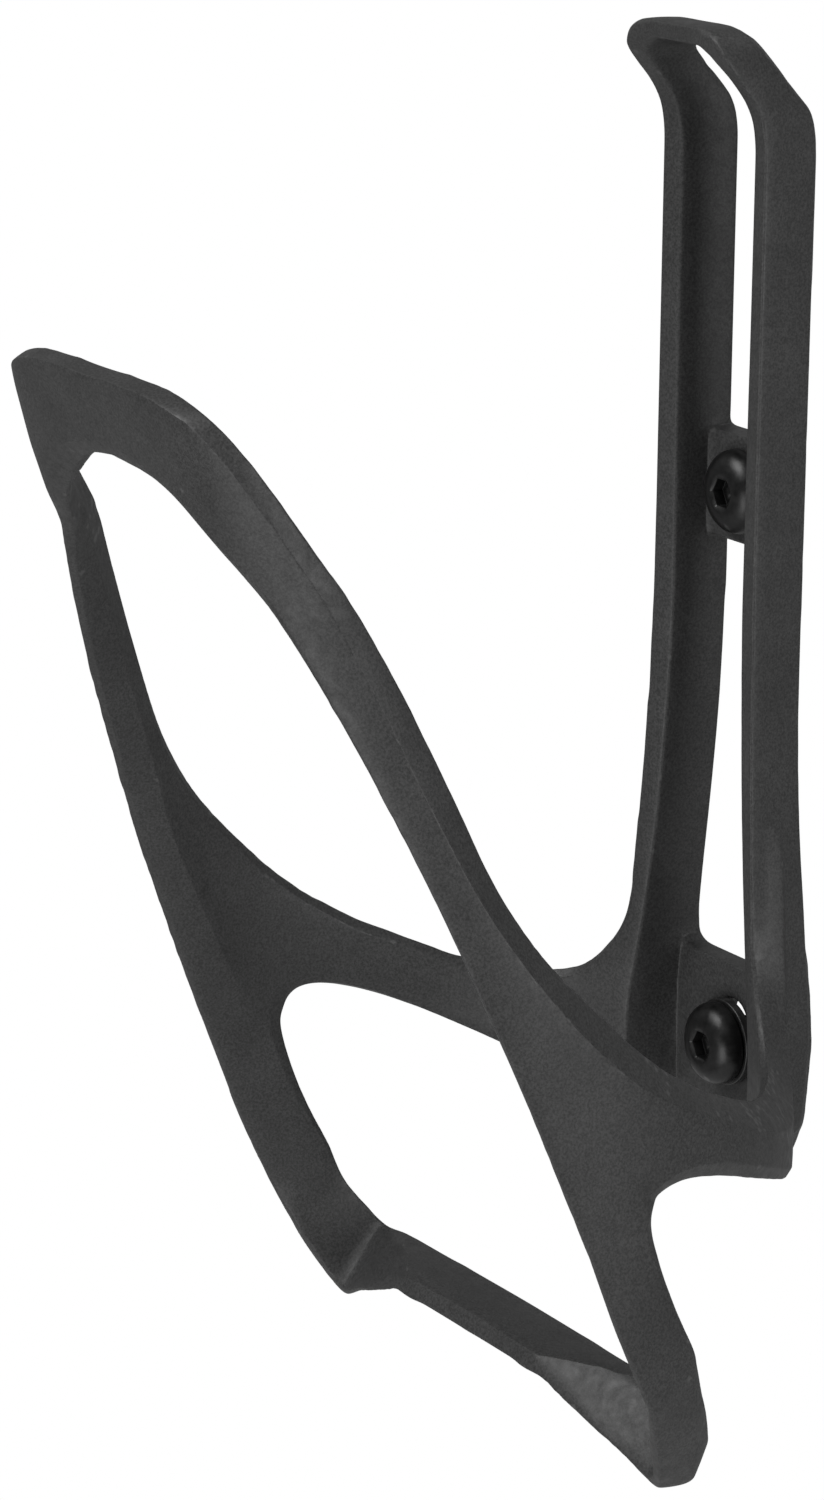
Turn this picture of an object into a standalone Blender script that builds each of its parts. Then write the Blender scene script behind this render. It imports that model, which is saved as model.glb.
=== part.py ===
"""Side-loading water bottle cage: one moulded frame and the two M5 screws that hold it to a bicycle.

Lengths are in millimetres while the shapes are worked out, with the bottle's axis at x = y = 0 and
z = 0 at the middle of the lower slot: -Y is the front, +Y is towards the bicycle, and +X is one arm.
world() turns them into metres, with the origin on the mounting plane, halfway between the two bolts.
The cage is symmetric about the plane x = 0. An angle is measured round the bottle from the front.
"""

import math

import bmesh
import bpy
from mathutils import Matrix, Vector

MM = 0.001

# Driving dimensions, mm
BOTTLE_RADIUS = 36.75
WALL = 3.8
THIN_WALL = 2.8  # of an arm where it is highest
FRONT_WALL = 3.6
BOLT_SPACING = 64.0
MOUNT_Y = 44.0  # bottle axis to the mounting plane

THINNING_START_Z = 20.0  # from here up the wall thins evenly, down to THIN_WALL at LEAN_START_Z
LEAN_START_Z = 64.5  # above this the front lip leans outwards
LEAN = 0.31
FRONT_FLAT_Y = 35.1  # inner face of the flat front panel, at FRONT_FLAT_Z
FRONT_FLAT_Z = 76.0
FLAT_BLEND = 1.5  # depth of the soft corner where the panel meets the round wall
FLAT_END = 75.0  # no panel beyond this angle
GRIP_RADIUS = 36.2  # nothing comes closer to the bottle's axis

EDGE = 1.3  # thickness left at the front edge of a strut
ROUNDING = 0.8  # inner upper edges stand this far off the bottle
LOWER_ROUNDING = 0.35  # and inner lower edges this far

RAIL_BACK_Y = 43.6
RAIL_TOP_Z = 103.0
RAIL_BACK_CUT = 0.8
RAIL_FRONT_CUT = 0.4
ARM_LEAD = 1.2  # distance along the inner face from an edge to the row that holds its shape

UPPER_PLATE_FRONT_Y = 40.7
UPPER_PLATE_HEIGHT = 12.2
LOWER_PLATE_FRONT_Y = 41.1
HOLE_DIAMETER = 5.4
SLOT_WIDTH = 5.8
SLOT_LENGTH = 9.8
CUTTER_LENGTH = 24.0  # of the bore and the slot, right through the plates

SCREW_DIAMETER = 5.0
UPPER_SCREW_LENGTH = 6.0
LOWER_SCREW_LENGTH = 10.0
HEAD_DIAMETER = 9.5
HEAD_HEIGHT = 2.75
HEX_WIDTH = 3.0
HEX_DEPTH = 1.6
WASHER_DIAMETER = 10.0
WASHER_HOLE = 5.3
WASHER_THICKNESS = 1.0
CLEARANCE = 0.3

STEPS = 4  # rows between two stations of an arm
RAIL_STEPS = 3
HOOP_STEPS = 2
ROUND_STEPS = 32
MERGE = 0.00001  # metres

# Stations along an arm, from the middle of the front to where the strut leaves: (angle, z).
FRONT_EDGE = ((0, 75.8), (9.2, 74.9), (18, 72.5), (27, 68), (35, 62.7), (43.6, 54.7),
              (52, 44.8), (60, 33.9), (67, 23.2), (73.5, 12.8), (79, 3.4), (84, -5))
MIDDLE_OUT = ((0, 80.3), (10, 79.9), (20, 78), (28.5, 73.5), (37.3, 66), (47, 56),
              (55.7, 44.6), (63.2, 34.4), (70.5, 25), (78.5, 14.8), (86, 6.6), (92, 1))
UPPER_OUT = ((0, 84.6), (10.5, 84.6), (20.3, 83.8), (28.6, 80.7), (39.5, 69.3), (50.4, 56.2),
             (59.3, 43.8), (66.5, 34.3), (74.2, 26.3), (82.5, 19.2), (91, 13.6), (98, 10.4))
UPPER_IN = ((0, 85.1), (11, 85.2), (23, 84.5), (31.5, 81.1), (42.5, 69.4), (53.5, 57.2),
            (62.6, 45), (69.3, 35.5), (76.8, 28), (85, 22.1), (93, 17), (100, 13.3))
CREASE_IN = ((0, 77), (10, 76.6), (20.5, 74.4), (30, 69.9), (38.5, 64), (47.5, 55.8),
             (56.5, 45.3), (64.5, 34), (70.6, 23.3), (78.5, 13), (85.5, 4), (92, -1.6))
NOTCH_FACE = (94.6, 1.9)  # on the inner face, just above the notch
# At each station: depth of the outer bevel at the front edge, thickness left there, and depth of
# the rounding at the upper edge.
ARM_EDGES = ((0.8, 1.7, 0), (1, 1.9, 0.1), (1.4, 2.8, 0.3), (1.5, 2.3, 0.5), (0.6, 1.8, 0.2),
             (0.2, 1.4, 0), (0.1, 1.35, 0), (0.1, 1.35, 0), (0, 1.3, 0), (0, 1.3, 0), (0, 1.3, 0),
             (0, 1.3, 0))

# The back arm, from the notch to the rail: (angle, z).
ARM_UPPER_OUT = ((98, 10.4), (102.5, 8.9), (108.5, 6.8), (117, 4.3), (126, 2.1), (134, 0.5),
                 (142, -0.4), (149, 0.4), (155, 3.4), (159.6, 9), (162.4, 16), (164.6, 27))
ARM_UPPER_IN = ((100, 13.3), (104.5, 11.5), (110.5, 9.3), (118.5, 7.2), (127, 5.2), (135, 4.4),
                (143, 4.4), (149.5, 5.2), (155, 8), (160, 13), (162.6, 21), (164, 31))
ARM_LOWER_OUT = ((96.3, 0.5), (99.2, 1.2), (104.4, 1.1), (111.5, -0.1), (120, -2.1), (130, -4.5),
                 (140, -6.8), (149, -8.1), (154, -8.3), (157.5, -8.3), (160.5, -8.3), (163.2, -8.3))
ARM_LOWER_IN = ((96.5, 0.8), (99.2, 1.9), (103.8, 2), (110.5, 1), (119, -1.1), (129, -3.8),
                (139, -6.2), (149, -7.7), (153, -8.1), (156, -8.1), (158.2, -8.1), (159.8, -8.1))
# At each station: how far the outer face leaves the shell to meet the rail, and the lower bevel's depth.
ARM_FLARE = ((0, 0.9), (0, 0.9), (0, 0.9), (0, 0.9), (0, 0.8), (0, 0.7),
             (0, 0.6), (0.1, 0.5), (0.4, 0.4), (0.8, 0.3), (1.2, 0.3), (1.6, 0.3))

# The strut below the notch: (angle, z), then the foot in x, y, z.
STRUT_FRONT = ((84, -5), (86.2, -9), (88.6, -13.3), (91.6, -18), (95.3, -23.6))
STRUT_BACK = ((96.2, 0.6), (94.8, -2.4), (96.8, -7.4), (100, -12.6), (104.2, -18))
STRUT_BACK_IN = ((96.5, 0.8), (95.2, -2.3), (97.2, -7.3), (100.4, -12.5), (104.6, -17.9))
STRUT_CREASE = ((92, -1.6), (93.4, -4.6), (95.8, -8.9), (99.4, -13.7), (103.6, -18.6))
STRUT_BEVEL = (0.9, 0.7, 0.45, 0.35, 0.3)  # depth at each station
FOOT_FRONT_OUT = ((38.4, 5.5, -28.1), (36.9, 6.9, -31.2), (33.2, 9.3, -35.8),
                  (28.5, 8.5, -34.1), (14.5, 5.6, -28.5), (0, 5.8, -28.5))
FOOT_RIDGE_OUT = ((38.7, 10.4, -24), (37.4, 11.6, -28.6), (34.2, 13.2, -35.6),
                  (30, 12.6, -33.7), (21, 10.4, -28.9), (0, 10.4, -28.9))
FOOT_BACK_OUT = ((38, 11.5, -23.2), (36.8, 13, -26.4), (34.7, 14.8, -31.2),
                 (31.6, 15.1, -30.6), (27.5, 14.9, -28.8), (0, 14.8, -28.6))
FOOT_BACK_IN = ((35.6, 11.1, -22.2), (34.7, 12.9, -24.8), (32.8, 14.6, -27.1),
                (30.4, 14.6, -27.4), (27, 14.2, -26.8), (0, 14.1, -26.4))
FOOT_CREASE_IN = ((35.9, 10, -23.2), (34.8, 11.8, -26.2), (32.6, 13.4, -28.6),
                  (29.4, 13, -28.4), (20.5, 10.4, -26.3), (0, 10.4, -26.3))
FOOT_FRONT_IN = ((37, 5.3, -27.4), (35.5, 6.6, -30.2), (32.4, 8.8, -34.8),
                 (27.7, 8, -33.1), (13.3, 6.3, -26.4), (0, 6.6, -26.4))

# A rail: (z, inner x in front, outer x in front, inner x behind, outer x behind).
RAIL = ((-8.2, 12.1, 13.2, 9.7, 11.4), (2, 11.8, 13.3, 10.4, 12.4), (8, 10.8, 12.7, 10.2, 12),
        (17, 9.3, 12.1, 9.3, 11), (27, 8, 11.2, 8, 9.6), (38, 7.1, 10.4, 6.8, 8.8),
        (50, 6.5, 10, 6.2, 8.7), (62, 6.5, 9.8, 6.1, 8.7), (RAIL_TOP_Z, 6.7, 9.8, 6.1, 8.8))
# The hoop above it, corner by corner: front inner, front outer, back outer, back inner.
HOOP = (
    ((6.9, 35.5, 106.1), (9.9, 34.9, 106.4), (9, 42.7, 106.8), (6, 43, 106)),
    ((6.8, 34, 108.9), (10, 33, 109.5), (8.8, 40.6, 108.9), (6.3, 41.2, 108.7)),
    ((6.7, 31.4, 111.8), (9.9, 30, 113), (8.7, 37.2, 112.8), (6.3, 38.2, 111.9)),
    ((4.6, 30, 113.9), (7.6, 29.6, 115.6), (7.8, 35.5, 115.1), (4, 36.6, 113.6)),
    ((3, 30, 114), (5, 29.9, 116.2), (5, 34.9, 116.1), (3, 36, 113.8)),
    ((0, 30, 114), (0, 29.9, 116.2), (0, 34.9, 116.1), (0, 36, 113.8)),
)

# Half outlines of the plates: (x, y) of the upper one, (x, z) of the lower one below its arc.
UPPER_PLATE = ((5.2, UPPER_PLATE_FRONT_Y), (6.9, UPPER_PLATE_FRONT_Y - 0.6),
               (7.5, UPPER_PLATE_FRONT_Y - 0.2), (7.2, MOUNT_Y))
LOWER_PLATE = ((8.4, -12), (11, -6.8), (12, 2.4), (11.4, 8), (10.6, 13))
LOWER_PLATE_TOP = (8.4, 11.1)  # centre of the arc that leads from the rail to the top edge
LOWER_PLATE_ARC = 2.1
# The sloped corner between a rail and the lower plate: (x, how far in front of the plate, z).
PLATE_FILLET = ((10.5, -0.3, -8), (11.3, 1.9, -8), (11.6, -0.3, -8),
                (10.52, -0.3, 3), (11.3, 1.52, 3), (11.6, -0.3, 3), (10.9, -0.3, 12))


def world(point):
    x, y, z = point
    return Vector((x, y - MOUNT_Y, z - BOLT_SPACING / 2)) * MM


def smooth_min(a, b, blend):
    share = max(blend - abs(a - b), 0) / blend
    return min(a, b) - share * share * blend / 4


def shell_radius(angle, z, outer):
    """Distance from the bottle's axis to the band's outer face, or to its inner one."""
    thinned = (z - THINNING_START_Z) / (LEAN_START_Z - THINNING_START_Z)
    wall = WALL - (WALL - THIN_WALL) * min(max(thinned, 0), 1)
    radius = BOTTLE_RADIUS + outer * wall + LEAN * max(z - LEAN_START_Z, 0)
    if angle > FLAT_END:
        return radius
    flat = FRONT_FLAT_Y + outer * FRONT_WALL + LEAN * (z - FRONT_FLAT_Z)
    radius = smooth_min(radius, flat / math.cos(math.radians(angle)), FLAT_BLEND)
    return max(radius, GRIP_RADIUS + outer * THIN_WALL)


def on_shell(place, outer, inset=0.0):
    """The point at this (angle, z) on the outer or the inner face, moved this far inwards."""
    angle, z = place
    radius = shell_radius(angle, z, outer) - inset
    turn = math.radians(angle)
    return Vector((radius * math.sin(turn), -radius * math.cos(turn), z))


def between(a, b, share):
    return tuple(p + (q - p) * share for p, q in zip(a, b))


def spline(points, steps):
    """Catmull-Rom through every point, with steps pieces between each two."""
    ends = [between(points[1], points[0], 2), *points, between(points[-2], points[-1], 2)]
    found = []
    for before, start, end, after in zip(ends, ends[1:], ends[2:], ends[3:]):
        for step in range(steps):
            t = step / steps
            found.append(tuple(
                b + 0.5 * t * (c - a + t * (2 * a - 5 * b + 4 * c - d + t * (3 * (b - c) + d - a)))
                for a, b, c, d in zip(before, start, end, after)))
    return [*found, tuple(points[-1])]


def towards(a, b, distance):
    """The point at this distance along the shell from a to b, both (angle, z)."""
    across = math.radians(b[0] - a[0]) * BOTTLE_RADIUS
    return between(a, b, min(distance / math.hypot(across, b[1] - a[1]), 0.6))


def arm_rows():
    """Sections of the front bridge and the arm, each a loop of nine points."""
    tracks = [spline(t, STEPS) for t in (FRONT_EDGE, MIDDLE_OUT, UPPER_OUT, UPPER_IN, CREASE_IN)]
    rows = []
    for front, middle, upper, upper_in, crease, edge in zip(*tracks, spline(ARM_EDGES, STEPS)):
        bevel, thickness, crown = edge
        rows.append([
            on_shell(front, True, bevel),
            on_shell(towards(front, middle, 0.6 + 0.8 * bevel), True),
            on_shell(middle, True),
            on_shell(upper, True, crown),
            on_shell(upper_in, False, -ROUNDING),
            on_shell(towards(upper_in, crease, ARM_LEAD), False),
            on_shell(between(crease, upper_in, 0.4), False),
            on_shell(crease, False),
            on_shell(front, True, thickness),
        ])
    rows[-1][6] = on_shell(NOTCH_FACE, False)
    return rows


def back_arm_rows():
    """Sections of the arm behind the notch, each a loop of seven points from its outer bevel."""
    tracks = (ARM_UPPER_OUT, ARM_UPPER_IN, ARM_LOWER_IN, ARM_LOWER_OUT, ARM_FLARE)
    rows = []
    for upper, upper_in, lower_in, lower, (flare, bevel) in zip(*[spline(t, STEPS) for t in tracks]):
        rows.append([
            on_shell(towards(lower, upper, 2 * bevel), True, -flare),
            on_shell(upper, True, -flare / 2),
            on_shell(upper_in, False, -ROUNDING),
            on_shell(towards(upper_in, lower_in, ARM_LEAD), False),
            on_shell(towards(lower_in, upper_in, ARM_LEAD), False),
            on_shell(lower_in, False, -LOWER_ROUNDING),
            on_shell(lower, True, bevel - flare),
        ])
    return rows


def strut_rows():
    """Sections of the strut and of half the foot, each a loop of six points from its outer front."""
    rows = []
    tracks = (STRUT_FRONT, STRUT_BACK, STRUT_BACK_IN, STRUT_CREASE, [(depth,) for depth in STRUT_BEVEL])
    for front, back, back_in, crease, (bevel,) in zip(*[spline(t, STEPS) for t in tracks]):
        rows.append([
            on_shell(front, True),
            on_shell(towards(back, front, 2 * bevel), True),
            on_shell(back, True, bevel),
            on_shell(back_in, False, -LOWER_ROUNDING),
            on_shell(crease, False),
            on_shell(front, True, EDGE),
        ])
    foot = (FOOT_FRONT_OUT, FOOT_RIDGE_OUT, FOOT_BACK_OUT, FOOT_BACK_IN, FOOT_CREASE_IN, FOOT_FRONT_IN)
    joined = [[tuple(last), *track] for last, track in zip(rows[-1], foot)]
    smooth = [spline(track[:5], STEPS)[1:] for track in joined]
    rows += [[Vector(p) for p in row] for row in zip(*smooth)]
    return rows + [[Vector(p) for p in row] for row in zip(*[track[4:] for track in foot])]


def skin(mesh, row, after):
    """Joins two loops of vertices of the same length with four-sided faces."""
    for i in range(len(row)):
        j = (i + 1) % len(row)
        mesh.faces.new((row[i], row[j], after[j], after[i]))


def add_row(mesh, points):
    return [mesh.verts.new(world(p)) for p in points]


def loft(mesh, rows):
    for row, after in zip(rows, rows[1:]):
        skin(mesh, row, after)


def band_mesh():
    """Half of the front bridge, one arm with its strut, and half of the foot: open at x = 0."""
    mesh = bmesh.new()
    arm = [add_row(mesh, row) for row in arm_rows()]
    fork = arm[-1]
    strut = strut_rows()
    outer_notch, inner_notch = add_row(mesh, strut[0][2:4])
    strut_verts = [[fork[0], fork[2], outer_notch, inner_notch, fork[7], fork[8]]]
    strut_verts += [add_row(mesh, row) for row in strut[1:]]
    back_verts = [[*fork[2:7], inner_notch, outer_notch]]
    back_verts += [add_row(mesh, row) for row in back_arm_rows()[1:]]
    for rows in (arm, strut_verts, back_verts):
        loft(mesh, rows)
    for corners in (fork[:3], [*fork[6:8], inner_notch], back_verts[-1]):
        mesh.faces.new(corners)
    return mesh


def cut_corners(corners, cuts):
    """A loop of points with each corner of the loop cut off by its own length."""
    loop = []
    for i, (corner, cut) in enumerate(zip(corners, cuts)):
        for other in (corners[i - 1], corners[(i + 1) % len(corners)]):
            loop.append(corner + (other - corner).normalized() * cut)
    return loop


def rail_rows():
    """Sections of one rail and half of the hoop, from the bottom to the middle of the top bar."""
    cuts = (RAIL_FRONT_CUT, RAIL_FRONT_CUT, RAIL_BACK_CUT, RAIL_FRONT_CUT)
    rings = []
    for z, front_in, front_out, back_in, back_out in spline(RAIL, RAIL_STEPS):
        rings.append((
            (front_in, math.sqrt(BOTTLE_RADIUS**2 - front_in**2), z),
            (front_out, math.sqrt(BOTTLE_RADIUS**2 - front_out**2), z),
            (back_out, RAIL_BACK_Y, z),
            (back_in, RAIL_BACK_Y, z),
        ))
    corners = zip(rings[-1], *HOOP)
    rings[-1:] = zip(*[spline(corner, HOOP_STEPS) for corner in corners])
    return [cut_corners([Vector(c) for c in ring], cuts) for ring in rings]


def rail_mesh():
    """One rail and half of the hoop, open at x = 0."""
    mesh = bmesh.new()
    rows = [add_row(mesh, row) for row in rail_rows()]
    loft(mesh, rows)
    mesh.faces.new(rows[0])
    return mesh


def extruded(outline, travel):
    """A solid swept from the flat outline by this travel, both in mm."""
    mesh = bmesh.new()
    face = mesh.faces.new(add_row(mesh, outline))
    swept = bmesh.ops.extrude_face_region(mesh, geom=[face])["geom"]
    moved = [v for v in swept if isinstance(v, bmesh.types.BMVert)]
    bmesh.ops.translate(mesh, verts=moved, vec=Vector(travel) * MM)
    return mesh


def mirrored(half):
    """A closed outline from its +x half."""
    return list(half) + [(-x, other) for x, other in reversed(half)]


def arc(centre, radius, start, end, steps):
    """Points on a circle, by angle in degrees."""
    turns = [math.radians(start + (end - start) * i / steps) for i in range(steps + 1)]
    return [(centre[0] + radius * math.cos(t), centre[1] + radius * math.sin(t)) for t in turns]


def upper_plate_mesh():
    bottom = BOLT_SPACING - UPPER_PLATE_HEIGHT / 2
    return extruded([(x, y, bottom) for x, y in mirrored(UPPER_PLATE)], (0, 0, UPPER_PLATE_HEIGHT))


def lower_plate_mesh():
    half = [*LOWER_PLATE, *arc(LOWER_PLATE_TOP, LOWER_PLATE_ARC, 0, -90, 6)]
    outline = [(x, LOWER_PLATE_FRONT_Y, z) for x, z in mirrored(half)]
    return extruded(outline, (0, MOUNT_Y - LOWER_PLATE_FRONT_Y, 0))


def plate_fillet_mesh():
    """The sloped corner beside the lower plate, which tapers off upwards."""
    mesh = bmesh.new()
    add_row(mesh, [(x, LOWER_PLATE_FRONT_Y - rise, z) for x, rise, z in PLATE_FILLET])
    bmesh.ops.convex_hull(mesh, input=mesh.verts)
    return mesh


def slot_mesh():
    radius = SLOT_WIDTH / 2
    reach = SLOT_LENGTH / 2 - radius
    outline = arc((0, reach), radius, 0, 180, 12) + arc((0, -reach), radius, 180, 360, 12)
    return extruded([(x, MOUNT_Y - CUTTER_LENGTH / 2, z) for x, z in outline], (0, CUTTER_LENGTH, 0))


def bore_mesh():
    """A cylinder along Y on the upper bolt line."""
    mesh = round_bar(HOLE_DIAMETER / 2, CUTTER_LENGTH, ROUND_STEPS)
    bmesh.ops.rotate(mesh, verts=mesh.verts, matrix=Matrix.Rotation(math.pi / 2, 3, "X"))
    bmesh.ops.translate(mesh, verts=mesh.verts, vec=world((0, MOUNT_Y, BOLT_SPACING)))
    return mesh


def round_bar(radius, length, sides):
    """A bar along Z, centred on the origin."""
    mesh = bmesh.new()
    bmesh.ops.create_cone(mesh, cap_ends=True, segments=sides, radius1=radius * MM,
                          radius2=radius * MM, depth=length * MM)
    return mesh


def profile_mesh(points, closed=False):
    """Edges through (radius, z) points, for turning about Z."""
    mesh = bmesh.new()
    verts = [mesh.verts.new(Vector((radius, 0, z)) * MM) for radius, z in points]
    for start, end in zip(verts, verts[1:] + verts[:1] * closed):
        mesh.edges.new((start, end))
    return mesh


def screw_profile(length):
    """Half of a button-head screw: the head's underside at z = 0 and the shank below it."""
    head = HEAD_DIAMETER / 2
    shank = SCREW_DIAMETER / 2
    flat = HEX_WIDTH / 2 + 0.5
    rim = 0.5
    turns = [math.radians(90 * i / 6) for i in range(7)]
    dome = [(flat + (head - flat) * math.sin(t), rim + (HEAD_HEIGHT - rim) * math.cos(t)) for t in turns]
    tip = 0.6
    return [(0, HEAD_HEIGHT), *dome, (head, 0), (shank, 0), (shank, tip - length),
            (shank - tip, -length), (0, -length)]


def washer_profile():
    inner, outer, edge = WASHER_HOLE / 2, WASHER_DIAMETER / 2, 0.15
    return [(inner, WASHER_THICKNESS), (outer - edge, WASHER_THICKNESS),
            (outer, WASHER_THICKNESS - edge), (outer, 0), (inner, 0)]


def clear_scene():
    for obj in list(bpy.data.objects):
        bpy.data.objects.remove(obj)


def collection(name, helper=False):
    found = bpy.data.collections.new(name)
    bpy.context.scene.collection.children.link(found)
    found.hide_render = helper
    return found


def material(name, colour, roughness, metallic):
    found = bpy.data.materials.new(name)
    found.use_nodes = True
    shader = found.node_tree.nodes["Principled BSDF"]
    shader.inputs["Base Color"].default_value = (*colour, 1)
    shader.inputs["Roughness"].default_value = roughness
    shader.inputs["Metallic"].default_value = metallic
    return found


def add_object(name, mesh, home, finish=None):
    """An object made from this mesh, with its faces turned outwards."""
    bmesh.ops.recalc_face_normals(mesh, faces=mesh.faces)
    if mesh.calc_volume(signed=True) < 0:
        bmesh.ops.reverse_faces(mesh, faces=mesh.faces)
    bmesh.ops.triangulate(mesh, faces=mesh.faces)
    data = bpy.data.meshes.new(name)
    mesh.to_mesh(data)
    mesh.free()
    obj = bpy.data.objects.new(name, data)
    home.objects.link(obj)
    if finish:
        data.materials.append(finish)
    else:
        obj.hide_render = True
        obj.display_type = "WIRE"
    return obj


def boolean(obj, other, operation):
    modifier = obj.modifiers.new(f"{operation.lower()} {other.name}", "BOOLEAN")
    modifier.object = other
    modifier.operation = operation
    modifier.solver = "EXACT"


def mirror(obj):
    modifier = obj.modifiers.new("mirror", "MIRROR")
    modifier.merge_threshold = MERGE


def turn_profile(obj):
    """A full turn about the object's own Z, which then points to the front."""
    modifier = obj.modifiers.new("turn", "SCREW")
    modifier.steps = modifier.render_steps = ROUND_STEPS
    modifier.use_merge_vertices = True
    modifier.merge_threshold = MERGE
    obj.rotation_euler.x = math.pi / 2


def build_moulding(parts, cutters):
    finish = material("moulded_composite", (0.045, 0.045, 0.045), 0.55, 0.0)
    moulding = add_object("cage_moulding", band_mesh(), parts, finish)
    rails = add_object("rails_and_hoop", rail_mesh(), cutters)
    fillets = add_object("plate_fillets", plate_fillet_mesh(), cutters)
    for half in (moulding, rails, fillets):
        mirror(half)
    upper_plate = add_object("upper_plate", upper_plate_mesh(), cutters)
    lower_plate = add_object("lower_plate", lower_plate_mesh(), cutters)
    for joined in (rails, upper_plate, lower_plate, fillets):
        boolean(moulding, joined, "UNION")
    for name, mesh in (("upper_bore", bore_mesh()), ("lower_slot", slot_mesh())):
        boolean(moulding, add_object(name, mesh, cutters), "DIFFERENCE")


def build_screw(name, length, place, homes, steel):
    parts, cutters = homes
    screw = add_object(name, profile_mesh(screw_profile(length)), parts, steel)
    screw.location = world(place)
    turn_profile(screw)
    corner = HEX_WIDTH / 2 / math.cos(math.radians(30))
    socket = add_object(name + "_socket", round_bar(corner, 2 * HEX_DEPTH, 6), cutters)
    socket.parent = screw
    socket.location.z = HEAD_HEIGHT * MM
    boolean(screw, socket, "DIFFERENCE")


def build_fasteners(parts, cutters):
    """The screws and the washer, each with its origin on its own bolt line."""
    steel = material("black_oxide_steel", (0.03, 0.03, 0.032), 0.35, 0.9)
    washer_steel = material("washer_steel", (0.05, 0.05, 0.052), 0.4, 0.9)
    homes = (parts, cutters)
    build_screw("upper_screw", UPPER_SCREW_LENGTH, (0, UPPER_PLATE_FRONT_Y - CLEARANCE, BOLT_SPACING),
                homes, steel)
    washer = add_object("lower_washer", profile_mesh(washer_profile(), True), parts, washer_steel)
    washer.location = world((0, LOWER_PLATE_FRONT_Y - CLEARANCE, 0))
    turn_profile(washer)
    build_screw("lower_screw", LOWER_SCREW_LENGTH,
                (0, LOWER_PLATE_FRONT_Y - WASHER_THICKNESS - 2 * CLEARANCE, 0), homes, steel)


def main():
    clear_scene()
    parts = collection("water_bottle_cage")
    cutters = collection("cutters", helper=True)
    build_moulding(parts, cutters)
    build_fasteners(parts, cutters)


main()
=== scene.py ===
"""The finished look of the side-entry water bottle cage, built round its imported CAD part.

Lengths are in metres, in the part's own frame: the origin is on the mounting plane halfway between
the two bolts, +Y points into the bicycle's tube and +Z along the bottle.
"""

import math
import bmesh
import bpy
import numpy as np
from mathutils import Matrix, Vector


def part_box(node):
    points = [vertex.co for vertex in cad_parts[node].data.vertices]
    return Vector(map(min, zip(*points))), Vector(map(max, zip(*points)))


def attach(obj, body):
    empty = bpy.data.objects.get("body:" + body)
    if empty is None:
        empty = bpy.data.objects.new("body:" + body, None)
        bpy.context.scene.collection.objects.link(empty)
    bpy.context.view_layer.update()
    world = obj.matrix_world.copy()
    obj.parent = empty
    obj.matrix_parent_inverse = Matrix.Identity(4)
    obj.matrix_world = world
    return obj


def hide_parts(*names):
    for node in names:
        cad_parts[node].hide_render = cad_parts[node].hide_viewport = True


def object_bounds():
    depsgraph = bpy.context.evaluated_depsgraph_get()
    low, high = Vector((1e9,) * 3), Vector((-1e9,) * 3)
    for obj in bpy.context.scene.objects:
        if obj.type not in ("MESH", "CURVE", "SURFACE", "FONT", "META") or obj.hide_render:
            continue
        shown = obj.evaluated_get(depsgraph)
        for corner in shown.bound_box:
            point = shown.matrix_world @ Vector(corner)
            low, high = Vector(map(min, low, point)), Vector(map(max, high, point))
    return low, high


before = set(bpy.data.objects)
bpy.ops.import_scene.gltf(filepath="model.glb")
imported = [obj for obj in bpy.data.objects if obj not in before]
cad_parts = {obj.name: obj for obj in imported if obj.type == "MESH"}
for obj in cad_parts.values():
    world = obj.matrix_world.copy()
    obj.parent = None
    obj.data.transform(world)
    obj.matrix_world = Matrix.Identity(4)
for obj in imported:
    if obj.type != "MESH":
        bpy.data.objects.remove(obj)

cad_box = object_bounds()

MM = 0.001

# The moulding's skin
VOXEL = 0.27 * MM
FACE_PASSES = 60  # smoothing passes that only reach the faces between edges
EDGE_PASSES = 30  # smoothing passes along the edges only
ALL_PASSES = 3  # smoothing passes over everything, which round the edges
EVENING_PASSES = 2  # passes that even out the sharpness itself among neighbours
SETTLING_PASSES = 2  # smoothing passes just after the skin is laid on the part
EDGE_SHARPNESS = 0.9  # from this sharpness up a vertex counts as part of an edge
EDGE_TURN = math.radians(6.5)  # a vertex whose faces turn by more than this lies on an edge

# The screws, button heads with M5 threads
SHANK_RADIUS = 2.5 * MM
HEAD_RADIUS = 4.75 * MM
HEAD_HEIGHT = 2.75 * MM
RIM = 0.45 * MM  # height of the cylindrical band under the dome
ROUND = 0.12 * MM  # radius of the edges broken in turning
HEX_WIDTH = 3.0 * MM
HEX_DEPTH = 1.6 * MM
HEX_CHAMFER = 0.25 * MM
PITCH = 0.8 * MM
THREAD_DEPTH = 0.43 * MM
THREAD_ROWS = 8  # rows along each turn of the thread
THREAD_FLANK = 2.6  # steepness of the thread's flanks, by which the V grooves are flattened
THREAD_CREST = 0.8  # taken off the V before it is cut, which leaves the thread's crest flat
DOME_STEPS = 14
CENTRE = 0.02 * MM  # radius of the tiny face that closes a turned shape on its axis
PLAIN_SHANK = 0.9 * MM  # length without a thread, under the head
TIP_CHAMFER = 0.6 * MM

# The washer
WASHER_HOLE = 2.65 * MM
WASHER_ROUND = 0.14 * MM
WASHER_STEPS = 4  # steps round each of its rounded edges

TURN_STEPS = 96
SHARP_ANGLE = math.radians(35)  # edges of the steel pieces that turn by more are shown sharp

# The camera, with its azimuth from the front towards +X; angles in degrees
CAMERA_PLACE = (0.42959, -0.3102, 0.14369)
CAMERA_AZIMUTH = 58.4
CAMERA_ELEVATION = 15.06
CAMERA_ROLL = -0.51
LENS = 116.66
SENSOR = 36.0

FLOOR_DROP = 0.5  # the floor's distance below the part
FLOOR_SIZE = 12

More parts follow.
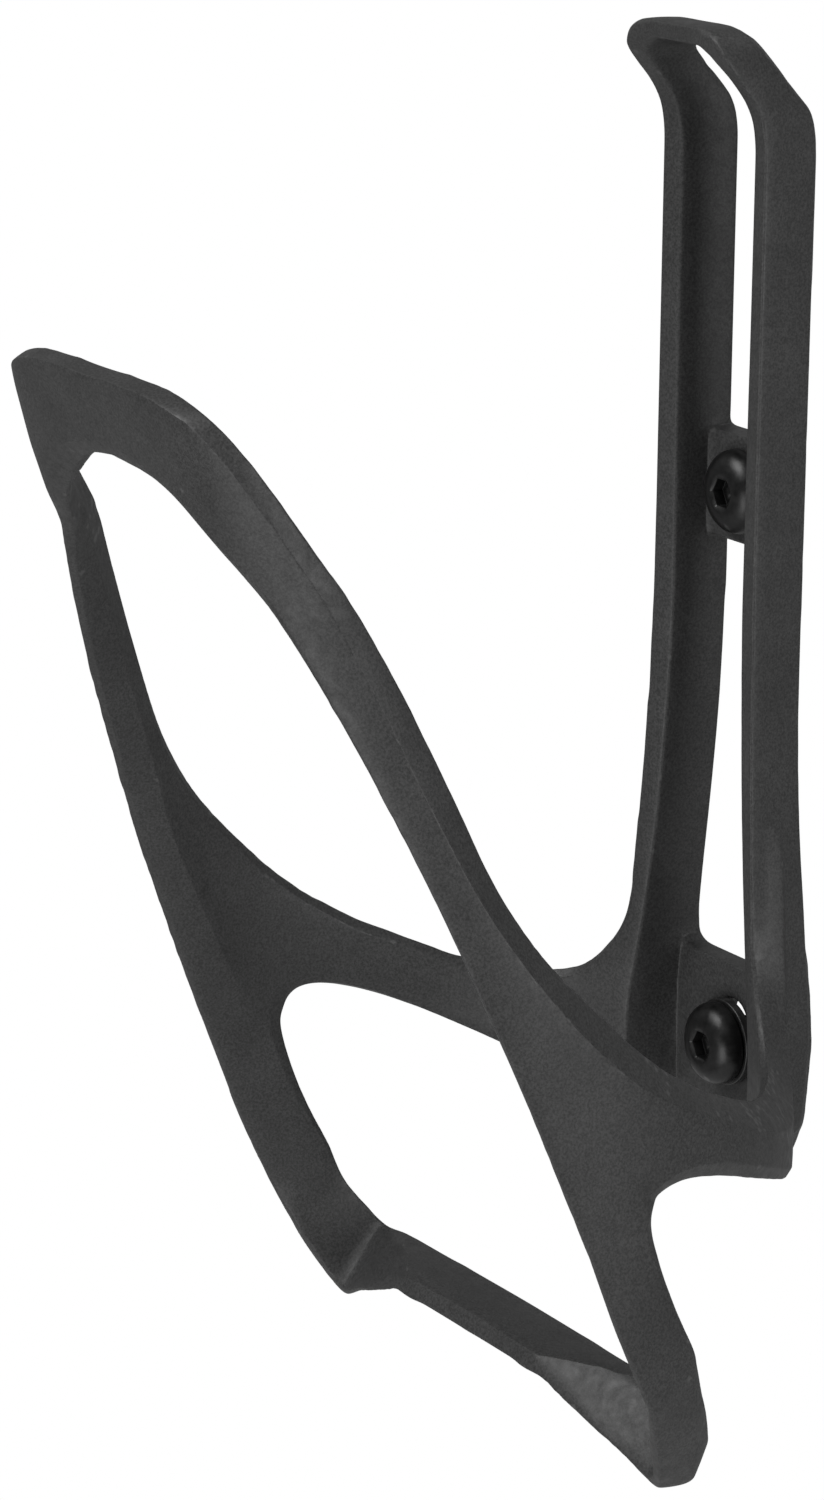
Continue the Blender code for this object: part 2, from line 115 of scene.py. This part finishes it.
# Softboxes, square, at the same distance from the middle of the part: azimuth and elevation in
# degrees, and power in watts
BOX_DISTANCE = 0.9
BOX_SIZE = 0.45
SOFTBOXES = {
    "key": (-15, 50, 6),
    "side": (100, 5, 4),
    "fill": (20, -20, 3),
    "behind": (180, 45, 0.5),
}
ROOM = 0.25  # strength of the light from everywhere else


def new_object(name, mesh, finish):
    data = bpy.data.meshes.new(name)
    mesh.to_mesh(data)
    mesh.free()
    obj = bpy.data.objects.new(name, data)
    bpy.context.scene.collection.objects.link(obj)
    data.materials.append(finish)
    data.shade_smooth()
    return obj


def settle(obj):
    """Replaces the object's mesh with what its modifiers make of it."""
    bpy.context.view_layer.update()
    graph = bpy.context.evaluated_depsgraph_get()
    made = bpy.data.meshes.new_from_object(obj.evaluated_get(graph))
    obj.modifiers.clear()
    old, obj.data = obj.data, made
    bpy.data.meshes.remove(old)


def stand_in(piece, body, node):
    """Lets the piece ride on this body in place of the CAD node."""
    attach(piece, body)
    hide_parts(node)


# ---------------------------------------------------------------- materials

def node(tree, kind, **inputs):
    made = tree.nodes.new(kind)
    for name, value in inputs.items():
        made.inputs[name.replace("_", " ")].default_value = value
    return made


def shader(name, roughness, metallic=0.0, specular=0.5):
    """A new material with its node tree and its Principled BSDF."""
    finish = bpy.data.materials.new(name)
    finish.use_nodes = True
    tree = finish.node_tree
    bsdf = tree.nodes["Principled BSDF"]
    bsdf.inputs["Roughness"].default_value = roughness
    bsdf.inputs["Metallic"].default_value = metallic
    bsdf.inputs["Specular IOR Level"].default_value = specular
    return finish, tree, bsdf


def ramp(tree, source, *stops):
    """A grey ramp over this socket: each stop is (position, grey level)."""
    made = tree.nodes.new("ShaderNodeValToRGB")
    while len(made.color_ramp.elements) < len(stops):
        made.color_ramp.elements.new(0.5)
    for element, (place, grey) in zip(made.color_ramp.elements, stops):
        element.position = place
        element.color = (grey, grey, grey, 1)
    tree.links.new(source, made.inputs["Fac"])
    return made.outputs["Color"]


def mix(tree, a, b, share, kind="MIX"):
    """Blends two colours; each of a, b and share is a number or a socket."""
    made = tree.nodes.new("ShaderNodeMix")
    made.data_type = "RGBA"
    made.blend_type = kind
    for name, value in (("A", a), ("B", b)):
        socket = [s for s in made.inputs if s.name == name and s.type == "RGBA"][0]
        if isinstance(value, float):
            socket.default_value = (value, value, value, 1)
        else:
            tree.links.new(value, socket)
    if isinstance(share, float):
        made.inputs["Factor"].default_value = share
    else:
        tree.links.new(share, made.inputs["Factor"])
    return [s for s in made.outputs if s.type == "RGBA"][0]


def textures(tree, *scales):
    """Noise textures on the object's own coordinates: each is (scale, detail, roughness)."""
    place = tree.nodes.new("ShaderNodeTexCoord").outputs["Object"]
    made = []
    for scale, detail, roughness in scales:
        noise = node(tree, "ShaderNodeTexNoise", Scale=scale, Detail=detail, Roughness=roughness)
        tree.links.new(place, noise.inputs["Vector"])
        made.append(noise.outputs["Fac"])
    return made


def bumped(tree, bsdf, height, strength, distance):
    bump = node(tree, "ShaderNodeBump", Strength=strength, Distance=distance)
    tree.links.new(height, bump.inputs["Height"])
    tree.links.new(bump.outputs["Normal"], bsdf.inputs["Normal"])


def moulded_finish():
    """Dark grey filled plastic: a fine spark-eroded grain, faint flow clouds and a painted highlight
    along the convex edges.
    """
    finish, tree, bsdf = shader("moulded_composite_skin", 0.5, specular=0.32)
    scales = (3600.0, 3.0, 0.7), (120.0, 5.0, 0.65), (900.0, 2.0, 0.5)
    grain, clouds, specks = textures(tree, *scales)
    tone = ramp(tree, clouds, (0.3, 0.042), (0.7, 0.057))
    tone = mix(tree, tone, ramp(tree, grain, (0.37, 0.45), (0.63, 1.0)), 1.0, "MULTIPLY")
    # Painted highlight: pointiness picks out the convex edges, and the colour is made paler there.
    edge = tree.nodes.new("ShaderNodeNewGeometry").outputs["Pointiness"]
    tone = mix(tree, tone, 0.11, ramp(tree, edge, (0.53, 0.0), (0.62, 0.4)))
    tree.links.new(tone, bsdf.inputs["Base Color"])
    tree.links.new(ramp(tree, specks, (0.3, 0.42), (0.7, 0.56)), bsdf.inputs["Roughness"])
    bumped(tree, bsdf, grain, 0.15, 0.04 * MM)
    return finish


def steel_finish(name, low, high, roughness):
    """Black oxide on steel: a satin film of uneven tone, with a painted highlight along its convex
    edges.
    """
    finish, tree, bsdf = shader(name, roughness, metallic=0.85)
    film, turned = textures(tree, (700.0, 5.0, 0.65), (2600.0, 2.0, 0.5))
    # Painted highlight: pointiness picks out the convex edges, and the colour is made paler there.
    edge = tree.nodes.new("ShaderNodeNewGeometry").outputs["Pointiness"]
    tone = ramp(tree, film, (0.35, low), (0.7, high))
    tone = mix(tree, tone, 0.14, ramp(tree, edge, (0.53, 0.0), (0.62, 0.6)))
    tree.links.new(tone, bsdf.inputs["Base Color"])
    rough = ramp(tree, film, (0.3, roughness - 0.06), (0.7, roughness + 0.1))
    tree.links.new(rough, bsdf.inputs["Roughness"])
    bumped(tree, bsdf, turned, 0.25, 0.02 * MM)
    return finish


# ---------------------------------------------------------------- the moulding

def mesh_edges(mesh):
    """The two ends of each edge, as two arrays of vertex numbers."""
    ends = np.empty(len(mesh.edges) * 2, np.int32)
    mesh.edges.foreach_get("vertices", ends)
    return ends[::2], ends[1::2]


def neighbour_sum(values, starts, ends):
    """For each vertex, the sum of its neighbours' values."""
    count = len(values)
    return np.bincount(starts, values[ends], count) + np.bincount(ends, values[starts], count)


def sharpness(mesh):
    """For each vertex, the most that its normal turns from one of its neighbours', over EDGE_TURN.

    It is then evened out among the neighbours, so that a lone bump doesn't count as an edge.
    """
    count = len(mesh.vertices)
    normals = np.empty(count * 3, np.float32)
    mesh.vertex_normals.foreach_get("vector", normals)
    normals = normals.reshape(-1, 3)
    starts, ends = mesh_edges(mesh)
    turn = np.arccos(np.clip((normals[starts] * normals[ends]).sum(1), -1, 1))
    sharp = np.zeros(count)
    for column in (starts, ends):
        np.maximum.at(sharp, column, turn / EDGE_TURN)
    near = np.maximum(neighbour_sum(np.ones(count), starts, ends), 1)
    for _ in range(EVENING_PASSES):
        sharp = (sharp + neighbour_sum(sharp, starts, ends) / near) / 2
    return sharp


def weigh_faces(obj, sharp):
    """A group that weighs each vertex 1 on a smooth face and 0 on an edge or a corner."""
    group = obj.vertex_groups.new(name="faces")
    levels = np.round(np.clip(1.5 - sharp, 0, 1) * 10)
    for level in range(1, 11):
        group.add(np.nonzero(levels == level)[0].tolist(), level / 10, "REPLACE")
    return group.name


def smooth_edges(obj, sharp):
    """Evens out the line of each edge: its vertices settle among those of the same edge alone."""
    mesh = obj.data
    count = len(mesh.vertices)
    places = np.empty(count * 3, np.float32)
    mesh.vertices.foreach_get("co", places)
    places = places.reshape(-1, 3).astype(float)
    on_edge = sharp > EDGE_SHARPNESS
    starts, ends = mesh_edges(mesh)
    kept = on_edge[starts] & on_edge[ends]
    starts, ends = starts[kept], ends[kept]
    near = neighbour_sum(np.ones(count), starts, ends)
    moved = near > 1
    for _ in range(EDGE_PASSES):
        for axis in range(3):
            line = places[:, axis]
            mean = neighbour_sum(line, starts, ends)[moved] / near[moved]
            line[moved] = (line[moved] + mean) / 2
    mesh.vertices.foreach_set("co", places.astype(np.float32).ravel())
    mesh.update()


def smooth(obj, passes, group=""):
    modifier = obj.modifiers.new("smooth", "SMOOTH")
    modifier.factor = 0.5
    modifier.iterations = passes
    modifier.vertex_group = group
    settle(obj)


def moulding_skin(finish):
    """The moulding with an even, fine mesh, smooth faces and softly rounded edges."""
    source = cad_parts["cage_moulding"]
    mesh = bmesh.new()
    mesh.from_mesh(source.data)
    bmesh.ops.remove_doubles(mesh, verts=mesh.verts, dist=0.001 * MM)
    skin = new_object("cage_skin", mesh, finish)
    remesh = skin.modifiers.new("voxels", "REMESH")
    remesh.mode = "VOXEL"
    remesh.voxel_size = VOXEL
    settle(skin)
    wrap = skin.modifiers.new("onto the part", "SHRINKWRAP")
    wrap.target = source
    settle(skin)
    smooth(skin, SETTLING_PASSES)
    sharp = sharpness(skin.data)
    group = weigh_faces(skin, sharp)
    smooth_edges(skin, sharp)
    smooth(skin, FACE_PASSES, group)
    smooth(skin, ALL_PASSES)
    skin.vertex_groups.clear()
    skin.data.shade_smooth()
    stand_in(skin, "cage", "cage_moulding")


# ---------------------------------------------------------------- the fasteners

def turned_piece(name, rings, finish, closed=False):
    """A piece turned about Z from rings of (radius, height).

    Each of the two is a number or a function of the angle.
    """
    mesh = bmesh.new()
    rows = []
    for radius, height in rings:
        row = []
        for i in range(TURN_STEPS):
            turn = math.tau * i / TURN_STEPS
            r = radius(turn) if callable(radius) else radius
            z = height(turn) if callable(height) else height
            row.append(mesh.verts.new((r * math.cos(turn), r * math.sin(turn), z)))
        rows.append(row)
    for row, after in zip(rows, rows[1:] + rows[:1] * closed):
        for i in range(TURN_STEPS):
            j = (i + 1) % TURN_STEPS
            mesh.faces.new((row[i], row[j], after[j], after[i]))
    if not closed:
        mesh.faces.new(rows[0])
        mesh.faces.new(rows[-1])
    bmesh.ops.recalc_face_normals(mesh, faces=mesh.faces)
    return new_object(name, mesh, finish)


def face_front(piece, underside):
    """Turns the piece's +Z to the front, -Y, and moves its origin to this point."""
    piece.data.transform(Matrix.Translation(underside) @ Matrix.Rotation(math.pi / 2, 4, "X"))


def rounded(radius, height, start, end, steps=3):
    """Points round a broken edge whose circle is centred here, by angle in degrees."""
    turns = [math.radians(start + (end - start) * i / steps) for i in range(steps + 1)]
    return [(radius + ROUND * math.cos(t), height + ROUND * math.sin(t)) for t in turns]


def hexagon(width):
    """The radius of a hexagon this wide across its flats, as a function of the angle."""
    sector = math.radians(60)
    return lambda turn: width / 2 / math.cos(turn % sector - sector / 2)


def thread_radius(height, depth):
    """The radius of the thread at this height: a helix of flattened V grooves this deep."""
    def radius(turn):
        phase = (height / PITCH - turn / math.tau) % 1
        groove = min(max(THREAD_FLANK * abs(2 * phase - 1) - THREAD_CREST, 0), 1)
        return SHANK_RADIUS - depth * groove
    return radius


def thread_rings(length):
    """Rings down the shank, with the thread fading in under the head and out at the tip."""
    count = round((length - PLAIN_SHANK) / PITCH * THREAD_ROWS)
    rings = []
    for i in range(count + 1):
        below = PLAIN_SHANK + (length - PLAIN_SHANK) * i / count
        depth = THREAD_DEPTH * min(1, (below - PLAIN_SHANK) / PITCH)
        taper = min(1, (length - below) / TIP_CHAMFER)
        thread = thread_radius(-below, depth)
        tip = SHANK_RADIUS - TIP_CHAMFER * (1 - taper)
        rings.append((lambda turn, thread=thread, tip=tip: min(thread(turn), tip), -below))
    return rings


def screw_rings(length):
    """A button-head screw from the bottom of its socket to its tip: the head's underside is z = 0."""
    mouth = HEX_WIDTH / 2 / math.cos(math.radians(30)) + HEX_CHAMFER
    floor_height = HEAD_HEIGHT - HEX_DEPTH
    flat = mouth + 0.15 * MM
    dome = [math.radians(90 * i / DOME_STEPS) for i in range(DOME_STEPS + 1)]
    return [
        (CENTRE, floor_height - 0.5 * MM),
        (0.8 * MM, floor_height),
        (hexagon(HEX_WIDTH - 0.1 * MM), floor_height),
        (hexagon(HEX_WIDTH), floor_height + 0.05 * MM),
        (hexagon(HEX_WIDTH), HEAD_HEIGHT - HEX_CHAMFER - 0.05 * MM),
        (hexagon(HEX_WIDTH + 0.06 * MM), HEAD_HEIGHT - HEX_CHAMFER),
        (mouth, HEAD_HEIGHT - 0.03 * MM),
        *[(flat + (HEAD_RADIUS - flat) * math.sin(t),
           RIM + (HEAD_HEIGHT - RIM) * math.cos(t)) for t in dome],
        *rounded(HEAD_RADIUS - ROUND, ROUND, 0, -90),
        (SHANK_RADIUS + 0.25 * MM, 0),
        (SHANK_RADIUS + 0.07 * MM, -0.07 * MM),
        (SHANK_RADIUS, -0.25 * MM),
        *thread_rings(length),
        (CENTRE, -length),
    ]


def screw(node_name, body, finish):
    """The detailed screw in the place of its CAD node, whose length it takes."""
    low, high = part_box(node_name)
    length = high[1] - low[1] - HEAD_HEIGHT
    piece = turned_piece(node_name + "_detail", screw_rings(length), finish)
    middle = (low[0] + high[0]) / 2, low[1] + HEAD_HEIGHT, (low[2] + high[2]) / 2
    face_front(piece, middle)
    sharpen(piece)
    stand_in(piece, body, node_name)


def washer(finish):
    """A stamped washer, with one face's edges drawn round by the punch."""
    low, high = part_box("lower_washer")
    outer = (high[0] - low[0]) / 2
    thickness = high[1] - low[1]
    quarter = [math.radians(90 * i / WASHER_STEPS) for i in range(WASHER_STEPS + 1)]
    rings = [(WASHER_HOLE, 0)]
    rings += [(WASHER_HOLE + WASHER_ROUND * (1 - math.cos(t)),
               thickness - WASHER_ROUND * (1 - math.sin(t))) for t in quarter]
    rings += [(outer - WASHER_ROUND * (1 - math.sin(t)),
               thickness - WASHER_ROUND * (1 - math.cos(t))) for t in quarter]
    rings += [(outer, 0.05 * MM), (outer - 0.05 * MM, 0)]
    piece = turned_piece("lower_washer_detail", rings, finish, closed=True)
    face_front(piece, ((low[0] + high[0]) / 2, high[1], (low[2] + high[2]) / 2))
    sharpen(piece)
    stand_in(piece, "washer", "lower_washer")


def sharpen(piece):
    piece.data.set_sharp_from_angle(angle=SHARP_ANGLE)


# ---------------------------------------------------------------- studio

def direction(azimuth, elevation):
    """A unit vector by azimuth from the front towards +X, and elevation, in degrees."""
    azimuth, elevation = math.radians(azimuth), math.radians(elevation)
    return Vector((
        math.sin(azimuth) * math.cos(elevation),
        -math.cos(azimuth) * math.cos(elevation),
        math.sin(elevation),
    ))


def camera():
    back = direction(CAMERA_AZIMUTH, CAMERA_ELEVATION)
    azimuth = math.radians(CAMERA_AZIMUTH)
    right = Vector((math.cos(azimuth), math.sin(azimuth), 0))
    turn = Matrix((right, back.cross(right), back)).transposed()
    turn = turn @ Matrix.Rotation(math.radians(-CAMERA_ROLL), 3, "Z")
    data = bpy.data.cameras.new("camera")
    data.lens = LENS
    data.sensor_width = SENSOR
    data.clip_start = 0.01
    data.clip_end = 100
    obj = bpy.data.objects.new("camera", data)
    obj.matrix_world = Matrix.Translation(CAMERA_PLACE) @ turn.to_4x4()
    bpy.context.scene.collection.objects.link(obj)
    bpy.context.scene.camera = obj


def softbox(name, azimuth, elevation, power):
    away = direction(azimuth, elevation)
    data = bpy.data.lights.new(name, "AREA")
    data.size = BOX_SIZE
    data.energy = power
    obj = bpy.data.objects.new(name, data)
    middle = (Vector(cad_box[0]) + Vector(cad_box[1])) / 2
    obj.location = middle + away * BOX_DISTANCE
    obj.rotation_euler = away.to_track_quat("Z", "Y").to_euler()
    obj.visible_camera = False
    bpy.context.scene.collection.objects.link(obj)


def seen_or_lit(tree, seen, lit):
    """One shader to the camera's own eye and another to the light that falls on the part."""
    path = tree.nodes.new("ShaderNodeLightPath")
    choice = tree.nodes.new("ShaderNodeMixShader")
    tree.links.new(path.outputs["Is Camera Ray"], choice.inputs[0])
    tree.links.new(lit.outputs[0], choice.inputs[1])
    tree.links.new(seen.outputs[0], choice.inputs[2])
    return choice.outputs[0]


def floor():
    """A pale floor, which is evenly white to the eye."""
    finish, tree, bsdf = shader("pale_floor", 0.9, specular=0.2)
    bsdf.inputs["Base Color"].default_value = (0.8, 0.8, 0.8, 1)
    white = node(tree, "ShaderNodeEmission", Strength=1.0)
    white.inputs["Color"].default_value = (1, 1, 1, 1)
    surface = tree.nodes["Material Output"].inputs["Surface"]
    tree.links.new(seen_or_lit(tree, white, bsdf), surface)
    mesh = bmesh.new()
    bmesh.ops.create_grid(mesh, x_segments=1, y_segments=1, size=FLOOR_SIZE)
    obj = new_object("floor", mesh, finish)
    obj.location = (0, 0, cad_box[0][2] - FLOOR_DROP)


def studio():
    """White to the eye behind the part, and dim all round it apart from the softboxes."""
    world = bpy.data.worlds.new("studio")
    bpy.context.scene.world = world
    world.use_nodes = True
    tree = world.node_tree
    white = tree.nodes["Background"]
    white.inputs["Color"].default_value = (1, 1, 1, 1)
    dim = node(tree, "ShaderNodeBackground", Strength=ROOM)
    dim.inputs["Color"].default_value = (1, 1, 1, 1)
    surface = tree.nodes["World Output"].inputs["Surface"]
    tree.links.new(seen_or_lit(tree, white, dim), surface)
    for name, place in SOFTBOXES.items():
        softbox(name, *place)
    bpy.context.scene.view_settings.view_transform = "Standard"


moulding_skin(moulded_finish())
oxide = steel_finish("black_oxide_skin", 0.022, 0.04, 0.36)
screw("upper_screw", "upper_bolt", oxide)
screw("lower_screw", "lower_bolt", oxide)
washer(steel_finish("washer_skin", 0.04, 0.065, 0.42))
floor()
camera()
studio()
